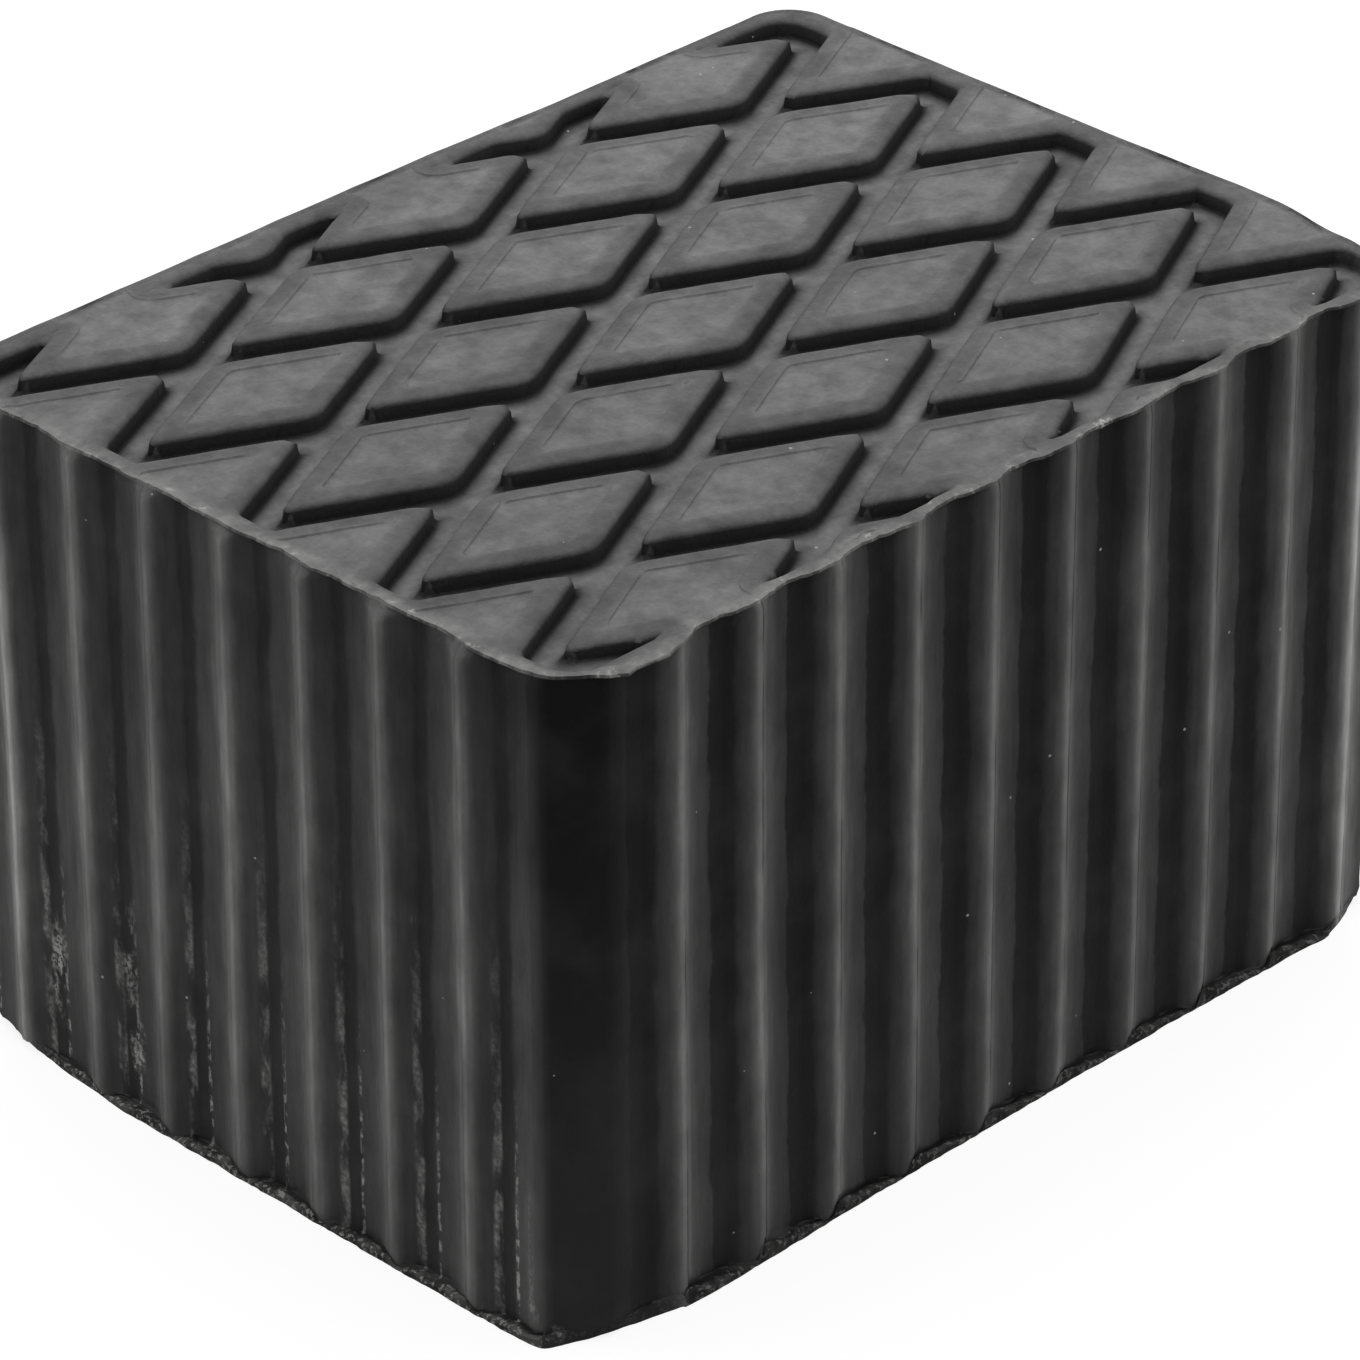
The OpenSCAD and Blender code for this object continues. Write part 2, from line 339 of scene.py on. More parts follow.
# The side's points, row by row: each is the side's base point, moved inward by the
# depth there, which runs over into the lip below and into the flash above. Also the
# shares that the material reads.
def buildSide():
    g = sideGrid()
    f, n, rows = g["f"], len(g["f"]), len(sideRows)
    base3 = np.column_stack([g["base"], np.zeros(n)])
    cornerArc = cornerDepth(f, np.where(g["isLong"], pad["long"], pad["wide"]))
    edge, worn, edgePoints = topEdge(g, base3, cornerArc)
    lip, torn, tall = baseLip(g, base3, cornerArc)
    isFront, isLeft = g["side"] == 0, g["side"] == 3
    crest = np.minimum(g["after"], pitch - g["after"])
    bare = 1 - np.clip(g["bloom"], 0, 1)
    slit = noiseSum(base3, foot["slitNoise"], np.where(isLeft, 0.5, 0.8))
    slit = np.clip(slit, 0.1, 1) * (1 - 0.8 * torn)
    verts = np.zeros((rows, n, 3))
    layers = {name: np.zeros((rows, n)) for name in ("bloom", "web", "recess", "haze", "slide")}
    for j, (z, lipShare, bevelShare, web, recess, crumbleIn, crumbleUp, flashShare) in enumerate(sideRows):
        # a crest's foot flares out into the lip
        flare = smooth(foot["flareTop"] - z, 0, 5.5) ** 2 * np.exp(-(crest / foot["flareHalf"]) ** 2)
        d = g["depth"] - foot["flare"] * flare * (1 - torn)
        # worn chamfer along the top of the left side's crests
        chamfer = np.clip((z - flash["chamferBase"]) * flash["chamferSlope"], 0, 2)
        chamfer = chamfer * isLeft * (1 - smooth(f, *flash["chamferEnds"]))
        d = np.maximum(d, np.where(chamfer > 0, chamfer, -9))
        d = np.maximum(d, worn * smooth(z, *flash["wornHeights"]))
        share = lipShare * (1 - torn) + bevelShare * torn
        d = d * (1 - share) + lip * share
        p = g["base"] + d[:, None] * g["inward"]
        # the flash hangs over a flute, and runs down into a crest as a bevel
        over = smooth(d - edge, -0.15, 0.15)
        reached = flashShare * over + smooth(z, *flash["bevelHeights"]) * (1 - over)
        p = p * (1 - reached[:, None]) + edgePoints * reached[:, None]
        # the foot bends towards the front corner as it meets the lip
        bend = np.where(isLeft, foot["bendLeft"], foot["bendLong"]) * (1 - torn)
        bend = bend * smooth(foot["bendTop"] - z, 0, foot["bendTop"]) ** 2
        bend = bend * np.exp(-(crest / foot["bendHalf"]) ** 2)
        leaning = crestLean(f, z, lean["long"]) * isFront + crestLean(f, z, lean["short"]) * isLeft
        p = p + bend[:, None] * g["toFront"] - leaning[:, None] * g["toFront"]
        zz = z + min(z, 2.1) * (tall - 1) * (1 - smooth(z, 2.1, 6.5))
        q = np.column_stack([g["base"], np.full(n, 1.3 * j)])
        p = p + (noiseSum(q, foot["crumbleIn"]) * crumbleIn)[:, None] * g["inward"]
        zz = zz + noiseSum(q + [0, 0, 40], foot["crumbleUp"]) * crumbleUp
        verts[j, :, :2] = p
        verts[j, :, 2] = np.maximum(zz, 0)
        layers["slide"][j] = leaning / pitch
        layers["web"][j] = web * (1 - 0.8 * torn)
        layers["recess"][j] = recess * slit
        # bloom and its painted highlights fade towards the top, on the left side also to the base, and
        # beside the front corner they grow down the side
        fade = 1 - np.where(isLeft, 0.26, 0.14) * smooth(z, 60, 95)
        fade = fade - isLeft * 0.10 * smooth(30 - z, 0, 20)
        grown = isLeft * (1 - smooth(f, 10.5, 14)) * (1.0 - 1.5 * z / pad["high"])
        layers["bloom"][j] = g["bloom"] * fade * (1 + grown)
        layers["haze"][j] = 0.03 * smooth(48 - z, 0, 40) + 0.06 * bare * smooth(95 - z, 0, 80)
    layers["side"] = np.repeat(g["side"][None, :], rows, axis=0)
    return verts, layers


tread = {
    "cellLong": 51.4, "cellWide": 25.06,   # lozenge spacing
    "groove": 4.8, "deep": 3.2,            # groove width and depth
    "tipBlend": 2.2,                       # rounding of the lozenges' tips
    "edgeNoise": ((0.07, 4.5, 41),),       # unevenness of the grooves' edges
    "rim": 2.9, "panel": 0.22,             # rim width and depth of the panel in it
    "edgeLong": 4.0, "edgeWide": 3.0,      # rim kept at the block's edges
    "fieldCorner": 5.0,
    "uneven": ((0.05, 9, 51), (0.03, 2.5, 52)),
    # a line round the far sides' edge: where it stands and how deep it is
    "farLine": (0.95, 1.15), "farLineDeep": 0.10,
    "panelStep": (-0.05, 0.14),            # where the panel's edge falls off
    # groove section: distance in from its edge, share of the depth, share of the bloom with painted shade,
    # which paints the walls dark and the floor at their foot shaded
    "section": [
        (-0.95, 0, 0.63), (-0.4, 0.045, 0.63), (-0.02, 0.135, 0.56), (0.24, 0.28, 0.1),
        (0.38, 0.74, 0), (0.62, 0.88, 0.04), (1.1, 0.98, 0.55), (1.9, 1, 1)],
    "gridStep": 1.5, "gridLong": 84, "gridWide": 62, "ringClear": 0.75,
    "tipGrid": 1.2, "tipCount": 7, "tipClear": 1.5, "tipAside": 0.6,
    "rise": 0.3, "riseAt": (-72, -52), "riseSize": 9,    # the floor at the front corner
    # burrs where a lozenge's wall turns round its tip, painted paler on their crown as a painted highlight:
    # place past the tip, half sizes
    "burrPlace": (0.25, -0.75), "burrHalf": (0.42, 0.34), "burrBelow": -1.0,
    # rolled lumps of flash: size in mm, seed, place in from the edge, half width, height
    "rollSize": 4.2, "rollSeed": 53, "rollPlace": 1.1, "rollHalf": 0.8, "rollHigh": 0.5,
}
halfL, halfW = tread["cellLong"] / 2, tread["cellWide"] / 2
acrossHalf = halfL * halfW / math.hypot(halfL, halfW)
studShare = 1 - tread["groove"] / (2 * acrossHalf)
fieldX = pad["long"] / 2 - tread["edgeLong"]
fieldY = pad["wide"] / 2 - tread["edgeWide"]
tips = [(i * halfL - halfL * studShare + tread["tipAside"], j * halfW)
        for i in range(-2, 3) for j in range(-4, 5) if (i + j) % 2 == 0]


# Distance outside the nearest lozenge: in the slanted coordinates x/a + y/b and
# x/a - y/b a lozenge is a square about an even point, so the distance is the larger
# of the two, with its corners rounded. Past the last lozenges it is all ground.
def outsideStud(x, y):
    s, t = x / halfL + y / halfW, x / halfL - y / halfW
    cs, ct = 2 * np.round(s / 2), 2 * np.round(t / 2)
    d1 = (np.abs(s - cs) - studShare) * acrossHalf
    d2 = (np.abs(t - ct) - studShare) * acrossHalf
    blend = np.maximum(tread["tipBlend"] - np.abs(d1 - d2), 0) / tread["tipBlend"]
    d = np.maximum(d1, d2) + blend ** 2 * tread["tipBlend"] / 4
    i, j = (cs + ct) / 2, (cs - ct) / 2
    empty = (np.abs(i) > 2.5) & (np.abs(j) > 4.5)
    return np.where(empty, 9.0, d)


# Distance inside the grooved field, a rounded rectangle.
def insideField(x, y):
    r = tread["fieldCorner"]
    qx, qy = np.abs(x) - (fieldX - r), np.abs(y) - (fieldY - r)
    out = np.hypot(np.maximum(qx, 0), np.maximum(qy, 0)) + np.minimum(np.maximum(qx, qy), 0)
    return r - out


# Positive inside a groove: as far from the lozenges as from the field's edge.
def inGroove(x, y):
    wobble = noiseSum(np.column_stack([x, y, 0 * x]), tread["edgeNoise"])
    return np.minimum(outsideStud(x, y), insideField(x, y)) + wobble


# Straight pieces of the grooves' outline, for the rims' inner edge: the lozenges' sides
# clipped to the field, and short pieces of the field's edge wherever a groove meets it.
def grooveEdges():
    segs = []
    reach, arms = np.array([fieldX, fieldY]), np.diag([halfL * studShare, halfW * studShare])
    for i in range(-3, 4):
        for j in range(-5, 6):
            if (i + j) % 2 or (abs(i) == 3 and abs(j) == 5):
                continue
            ends = np.array([i * halfL, j * halfW]) + np.vstack([arms, -arms])
            for p, q in zip(ends, np.roll(ends, -1, axis=0)):
                u = np.sort([(-reach - p) / (q - p), (reach - p) / (q - p)], axis=0)
                u0, u1 = max(0, *u[0]), min(1, *u[1])
                if u1 > u0:
                    segs.append(np.concatenate([p + u0 * (q - p), p + u1 * (q - p)]))
    step = 0.25
    for axis, limit, span in ((1, fieldY, fieldX), (0, fieldX, fieldY)):
        for sign in (1, -1):
            places = np.arange(-span, span, step)
            inner = np.full(len(places), sign * (limit - 0.02))
            meets = outsideStud(places, inner) if axis else outsideStud(inner, places)
            for place in places[meets > 0]:
                piece = np.array([(place, sign * limit), (place + step, sign * limit)])
                segs.append((piece if axis else piece[:, ::-1]).ravel())
    return np.array(segs)


# Positive inside a panel: further than the rim's width from every groove edge.
def inPanel(x, y, segs):
    best = np.full(len(x), 1e9)
    for a in range(0, len(segs), 40):
        s = segs[a:a + 40]
        dx, dy = s[:, 2] - s[:, 0], s[:, 3] - s[:, 1]
        w = ((x[:, None] - s[:, 0]) * dx + (y[:, None] - s[:, 1]) * dy) / (dx * dx + dy * dy)
        w = np.clip(w, 0, 1)
        d = np.hypot(x[:, None] - s[:, 0] - w * dx, y[:, None] - s[:, 1] - w * dy)
        best = np.minimum(best, d.min(axis=1))
    ground = inGroove(x, y) > -0.5
    return np.where(ground, -1.0, best - tread["rim"])


# Splits triangles along the line where one column of the points' values is level.
# Values within the snap count as level.
def splitAt(points, tris, col, level, snap=0.03):
    v = points[:, col]
    v[np.abs(v - level) < snap] = level
    side = np.sign(v - level)
    s = side[tris]
    after = np.roll(tris, -1, axis=1)
    cross = s * np.roll(s, -1, axis=1) < 0
    key = np.minimum(tris, after) * len(points) + np.maximum(tris, after)
    keys, back = np.unique(key[cross], return_inverse=True)
    p, q = keys // len(points), keys % len(points)
    w = ((level - v[p]) / (v[q] - v[p]))[:, None]
    new = points[p] * (1 - w) + points[q] * w
    new[:, col] = level
    mid = np.full(tris.shape, -1)
    mid[cross] = back + len(points)
    count = cross.sum(axis=1)
    out = [tris[count == 0]]
    for k in range(3):
        a, b, c = np.roll(tris, -k, axis=1).T
        m, n = mid[:, k], mid[:, (k + 2) % 3]
        # one corner on the line and the opposite edge crossed, or corner a alone on its
        # side and both its edges crossed
        one = (count == 1) & cross[:, k]
        two = (count == 2) & cross[:, k] & cross[:, (k + 2) % 3]
        for which, parts in ((one, ((a, m, c), (m, b, c))), (two, ((a, m, n), (m, b, n), (b, c, n)))):
            out += [np.column_stack(part)[which] for part in parts]
    return np.vstack([points, new]), np.vstack(out)


# True inside the ring: a line from the point along X crosses it an odd number of times.
def insideRing(x, y, ring):
    inside = np.zeros(len(x), bool)
    a, b = ring, np.roll(ring, -1, axis=0)
    for k in range(0, len(ring), 100):
        x0, y0, x1, y1 = (c[None, :] for c in (*a[k:k + 100].T, *b[k:k + 100].T))
        hit = (y0 > y[:, None]) != (y1 > y[:, None])
        with np.errstate(divide="ignore", invalid="ignore"):
            at = x0 + (y[:, None] - y0) * (x1 - x0) / (y1 - y0)
        inside ^= (np.sum(hit & (x[:, None] < at), axis=1) % 2).astype(bool)
    return inside


# Distance to the nearest of the ring's points, in batches of them.
def ringGap(x, y, ring):
    gap = np.full(len(x), 1e9)
    for k in range(0, len(ring), 50):
        gap = np.minimum(gap, np.hypot(x[:, None] - ring[k:k + 50, 0],
                                       y[:, None] - ring[k:k + 50, 1]).min(axis=1))
    return gap


# Triangle net inside the top edge's ring: rows of evenly spaced points, closer round
# the lozenges' tips that point to the front corner. The ring's points come first.
def treadNet(ring):
    step = tread["gridStep"]
    gridY = np.arange(-tread["gridWide"], tread["gridWide"] + 0.01, step * math.sqrt(3) / 2)
    gridX = np.arange(-tread["gridLong"], tread["gridLong"], step)
    x = np.concatenate([gridX + (k % 2) * step / 2 for k in range(len(gridY))])
    y = np.repeat(gridY, len(gridX))
    fine = np.linspace(-tread["tipGrid"], tread["tipGrid"], tread["tipCount"])
    fineX, fineY = (c.ravel() for c in np.meshgrid(fine, fine))
    for tipX, tipY in tips:
        midY = tipY - tread["tipAside"]
        far = np.maximum(np.abs(x - tipX), np.abs(y - midY)) > tread["tipClear"]
        x = np.concatenate([x[far], tipX + fineX])
        y = np.concatenate([y[far], midY + fineY])
    keep = insideRing(x, y, ring)
    x, y = x[keep], y[keep]
    inner = np.column_stack([x, y])[ringGap(x, y, ring) > tread["ringClear"]]
    flat = [Vector(p) for p in np.vstack([ring, inner]).tolist()]
    out = delaunay_2d_cdt(flat, [], [list(range(len(ring)))], 1, 1e-7)
    return np.array([tuple(v) for v in out[0]]), np.array(out[2])


# The tread as a height field over the plan: the net, split where walls and steps
# stand, then lifted by its height formula. Also its tone, with bloom, painted sheen,
# painted highlights and painted shade in it, and the share of torn edge.
def buildTread(ring, isFar):
    co, tris = treadNet(ring)
    x, y = co.T
    segs = grooveEdges()
    panel = inPanel(x, y, segs)
    panel[:len(ring)] = -1.0
    points = np.column_stack([co, inGroove(x, y), panel, ringGap(x, y, ring[isFar])])
    across, deep, bloom = np.array(tread["section"]).T
    # the net is split along all rows of the section but the first and the last
    for col, levels in ((2, across[1:-1]), (3, tread["panelStep"]), (4, tread["farLine"])):
        for level in levels:
            points, tris = splitAt(points, tris, col, level)
    x, y, g, farGap = points[:, 0], points[:, 1], points[:, 2], points[:, 4]
    exact = inPanel(x, y, segs)
    flat3 = np.column_stack([x, y, 0 * x])
    gap = ringGap(x, y, ring)
    (riseX, riseY), size = tread["riseAt"], tread["riseSize"]
    corner = np.exp(-(((x - riseX) / size) ** 2 + ((y - riseY) / size) ** 2))
    z = -np.interp(g, across, deep) * tread["deep"] * (1 - tread["rise"] * corner)
    z -= tread["panel"] * smooth(exact, *tread["panelStep"]) * (g < 0)
    z += noiseSum(flat3, tread["uneven"])
    z -= 0.06 * (1 - smooth(gap, 0, 0.8))
    z -= tread["farLineDeep"] * (1 - smooth(farGap, *tread["farLine"]))
    # rolled lumps of flash along the near sides' edge
    roll = np.clip(softNoise(flat3, tread["rollSize"], tread["rollSeed"]) + 0.35, 0, 1)
    roll = roll * np.exp(-((gap - tread["rollPlace"]) / tread["rollHalf"]) ** 2)
    roll = roll * (farGap > 6) * (g < -0.5)
    z += tread["rollHigh"] * roll
    zone = 0.63 + 0.37 * smooth(exact, -0.9, 0.5) + 0.07 * softNoise(flat3, 6, 54)
    # in the grooves, painted shade: dark walls, and a shaded floor at their foot
    zone = np.where(g > -0.5, np.interp(g, across, bloom), zone)
    # paler towards the far corner, a painted sheen, and darker along the far line
    zone *= (1 + 0.13 * (x + y) / 110) * (1 - 0.35 * (1 - smooth(farGap, 0.75, 1.15)))
    # the lumps painted paler: a painted highlight on them
    zone += 0.3 * roll
    # the left edge is broad and pale near the front corner
    zone += 0.12 * (1 - smooth(x, -77.5, -75)) * smooth(-22 - y, 0, 5) * smooth(y, -54, -50) * (g < -0.5)
    (burrX, burrY), (halfX, halfY) = tread["burrPlace"], tread["burrHalf"]
    for k, (tipX, tipY) in enumerate(tips):
        size = 0.7 + 0.3 * math.sin(7.3 * k)
        offX, offY = x - tipX - burrX, y - tipY - burrY
        lump = np.clip(1.3 * np.exp(-((offX / halfX) ** 2 + (offY / halfY) ** 2)), 0, 1)
        lump = lump * (g > 0) * (z < tread["burrBelow"])
        z = z + size * lump
        # the burr painted paler, most on its crown: a painted highlight
        zone = np.where(lump > 0.25, np.maximum(zone, 0.10 + 0.3 * (lump > 0.8)), zone)
    isNear = smooth(farGap - gap, 0.5, 3)
    zone = np.where((gap < 0.5) & (isNear > 0.5), np.maximum(zone, 0.85), zone)
    torn = (1 - smooth(gap, 0.7, 2.5)) * (0.25 + 0.75 * isNear)
    return np.column_stack([x, y, pad["high"] - 0.02 + z]), tris, zone, torn


# Adds an object to the scene with the given mesh, light or camera.
def addObject(name, data):
    obj = bpy.data.objects.new(name, data)
    bpy.context.scene.collection.objects.link(obj)
    return obj


# The block as one closed mesh: the side's rows, the tread on the last row's ring, and
# one flat face below. Its shares become attributes of the points.
def makePad():
    side, shares = buildSide()
    rows, n = side.shape[:2]
    print("side ready:", n, "columns by", rows, "rows")
    top, tris, zone, tornTop = buildTread(side[-1, :, :2], np.isin(shares["side"][-1], (1, 2)))
    print("tread ready:", len(top), "points,", len(tris), "triangles")
    top[:n, 2] = side[-1, :, 2] + 0.04
    low = side[:-1].reshape(-1, 3)
    verts = np.vstack([low, top])
    index = np.arange(rows * n).reshape(rows, n)
    onward = np.roll(index, -1, axis=1)
    quads = np.stack([index[:-1], onward[:-1], onward[1:], index[1:]], axis=-1).reshape(-1, 4)
    faces = quads.tolist() + (tris + len(low)).tolist() + [list(range(n))[::-1]]
    mesh = bpy.data.meshes.new("padBlock")
    mesh.from_pydata((verts * 0.001).tolist(), [], faces)
    mesh.validate()
    # each share of the side runs on to the top's first points, the ring
    rest = np.zeros(len(top) - n)
    layers = {name: np.concatenate([values.ravel(), rest]) for name, values in shares.items()}
    layers["short"] = np.isin(layers["side"], (1, 3))
    layers["left"] = layers.pop("side") == 3
    layers["top"] = np.arange(len(verts)) >= len(low) + n
    sideZone = 0.3 + 0.4 * smooth(low[:, 2], 94.6, 95.4) * layers["left"][:len(low)]
    layers["zone"] = np.concatenate([sideZone, zone])
    tornRows = [float(row[-1] > 0.9) for row in sideRows[:-1]]
    layers["torn"] = np.concatenate([np.repeat(tornRows, n), tornTop])
    for name, values in layers.items():
        layer = mesh.attributes.new(name, "FLOAT", "POINT")
        layer.data.foreach_set("value", values.astype(np.float32))
    mesh.shade_smooth()
    mesh.set_sharp_from_angle(angle=math.radians(pad["sharpAngle"]))
    return addObject("padBlock", mesh)


# sRGB hex to linear colour
def linear(hexText):
    c = [int(hexText[k:k + 2], 16) / 255 for k in (1, 3, 5)]
    return tuple(v / 12.92 if v <= 0.04045 else ((v + 0.055) / 1.055) ** 2.4 for v in c) + (1.0,)


# Adds one node with its settings, values and links. A link is a socket with the node it
# comes from, for that node's first output in use, or with the node and an output's name.
def addNode(tree, kind, settings=None, values=None, links=None):
    node = tree.nodes.new("ShaderNode" + kind)
    for name, value in (settings or {}).items():
        setattr(node, name, value)
    for name, value in (values or {}).items():
        node.inputs[name].default_value = value
    for name, source in (links or {}).items():
        if isinstance(source, tuple):
            output = source[0].outputs[source[1]]
        else:
            output = next(o for o in source.outputs if o.enabled)
        tree.links.new(output, node.inputs[name])
    return node


# Empties the node tree of a material or world, and returns addNode for that tree.
def emptyTree(owner):
    owner.use_nodes = True
    owner.node_tree.nodes.clear()
    return partial(addNode, owner.node_tree)


rubber = {
    "base": "#131314",      # moulded face of carbon-black rubber
    # the tread's pale grey: dust and bloom, and a painted sheen
    "tread": "#7e7e7e",     # dusty, bloomed tread
    # pale colour of the sides' bloom and of their painted highlights
    "bloomAndHighlight": "#a0a09f",   # bloom on the crests
    "tornEdge": "#9c9c9a",  # torn flash, stretched pale
    "lip": "#363636",       # the lip's crumbly edge
    # painted shade: darker than the rubber, in the slit behind the lip
    "recess": "#0a0a0a",    # the slit behind it
    "crumbs": "#a6a6a3",    # pale crumbs on it
    "scuff": "#c4c4c1",     # rubbed patches and dust
    "roughness": 0.62, "ior": 1.5,
    "bump": 0.35, "bumpHigh": 0.0003,    # share and height in metres
    # noises: size in mm, detail, roughness, and stretch along the height
    "noises": {
        "mottle": (3.8, 5, 0.6, 1), "grain": (0.7, 2, 0.6, 1), "cloud": (13.0, 4, 0.6, 1),
        "streak": (1.1, 3, 0.6, 0.10), "wobble": (4.5, 6, 0.7, 0.4), "patch": (2.2, 3, 0.6, 0.4),
        "dash": (0.8, 2, 0.6, 0.4), "drift": (14, 3, 0.6, 0.4),
    },
    # factors: the noise, its low and high value, and what they become
    "factors": {
        "mottle": ("mottle", 0.32, 0.68, 0.7, 1.28), "patch": ("cloud", 0.35, 0.65, 0.9, 1.12),
        "grain": ("grain", 0.3, 0.7, 0.93, 1.07), "streak": ("streak", 0.3, 0.7, 0.84, 1.14),
        "haze": ("cloud", 0.45, 0.7, 0, 0.05), "crumb": ("grain", 0.54, 0.63, 0, 1),
        "rag": ("patch", 0.4, 0.6, 0.3, 1), "fleck": ("patch", 0.61, 0.67, 0, 0.75),
        "dots": ("grain", 0.4, 0.66, 0.4, 1.3), "frayed": ("grain", 0.35, 0.65, 0.7, 1.15),
        "crushed": ("grain", 0.42, 0.56, 0.1, 1), "lumps": ("patch", 0.3, 0.7, 0.87, 1.13),
        "rub": ("patch", 0.44, 0.6, 0, 1), "dash": ("dash", 0.48, 0.56, 0, 1),
        "wobble": ("wobble", 0, 1, -1.5, 1.5), "drift": ("drift", 0.3, 0.7, 0.72, 1.25),
        "single": ("drift", 0.47, 0.53, 0, 1), "edge": ("cloud", 0.4, 0.6, 0.35, 1.1),
    },
    # strength of the bloom across one flute, by the distance in mm past a crest: with
    # the fine dark line beside the crest, and without it. Painted light is in it: the bright
    # crest line is a painted highlight, and the paler flank past it, ending sharply at the floor, is
    # painted light.
    "bloomAndLightLong": [
        (0, 0.92, 0.92), (0.35, 0.92, 0.92), (0.5, 0.28, 0.76), (0.66, 0.28, 0.7),
        (0.82, 0.7, 0.68), (1.35, 0.68, 0.66), (1.9, 0.46, 0.46), (3.9, 0.27, 0.27),
        (6.15, 0.19, 0.19), (6.5, 0.05, 0.05), (9.2, 0.02, 0.02), (10.5, 0.03, 0.03),
        (11.1, 0.1, 0.1), (12.4, 0.22, 0.22), (13.3, 0.44, 0.44), (13.75, 0.72, 0.72),
        (14.2, 0.92, 0.92)],
    "bloomAndLightShort": [
        (0, 1, 1), (0.3, 0.95, 0.88), (0.5, 0.62, 0.76), (0.7, 0.62, 0.76),
        (0.85, 0.8, 0.74), (1.45, 0.74, 0.72), (1.85, 0.54, 0.52), (3.2, 0.34, 0.34),
        (3.9, 0.28, 0.28), (6.5, 0.23, 0.23), (7.3, 0.09, 0.09), (9, 0.07, 0.07),
        (9.8, 0.15, 0.15), (10.8, 0.18, 0.18), (12.2, 0.22, 0.22), (12.9, 0.38, 0.38),
        (13.3, 0.62, 0.62), (13.7, 0.74, 0.72), (14.2, 1, 1)],
    "stray": (0.15, 1.0),      # how far its edges wander, by a crest and between two
    # rubbed patches: place, half size along X, Y and Z, and share covered (mm)
    "scuffs": [
        ((-79, 39.2, 15), (3, 2.6, 10), 1.4), ((-79, 24.4, 22), (3, 2.0, 13), 1.1),
        ((-79, 23.8, 10), (3, 2.0, 6), 1.5), ((-79, -53.5, 1.7), (5, 2.2, 1.1), 1.4),
        ((-78, -50.2, 10), (3, 0.8, 15), 0.5), ((-78, -50.6, 4), (3, 1.7, 2.6), 0.7),
        # the last two, on the top edge, are painted highlights
        ((-79.8, -20.6, 97), (1.0, 3.4, 1.5), 1.6), ((28.3, -59.2, 97), (4.4, 1.2, 1.5), 1.3),
        ((16.9, -58.0, 97), (1.4, 1.2, 1.5), 2.0)],
    # rubbing low on the left side: a dashed line along one edge of each flute's floor and
    # patches along the other. Factor, middle, half width, soft edge and height reached in
    # mm, and share
    "rubbing": (("dash", 6.7, 0.18, 0.18, 36, 1.0), ("rub", 9.9, 0.45, 0.45, 60, 0.55)),
    "dustSpacing": 7.0, "dustSize": 0.03,      # grains of dust, the size in spacings
}
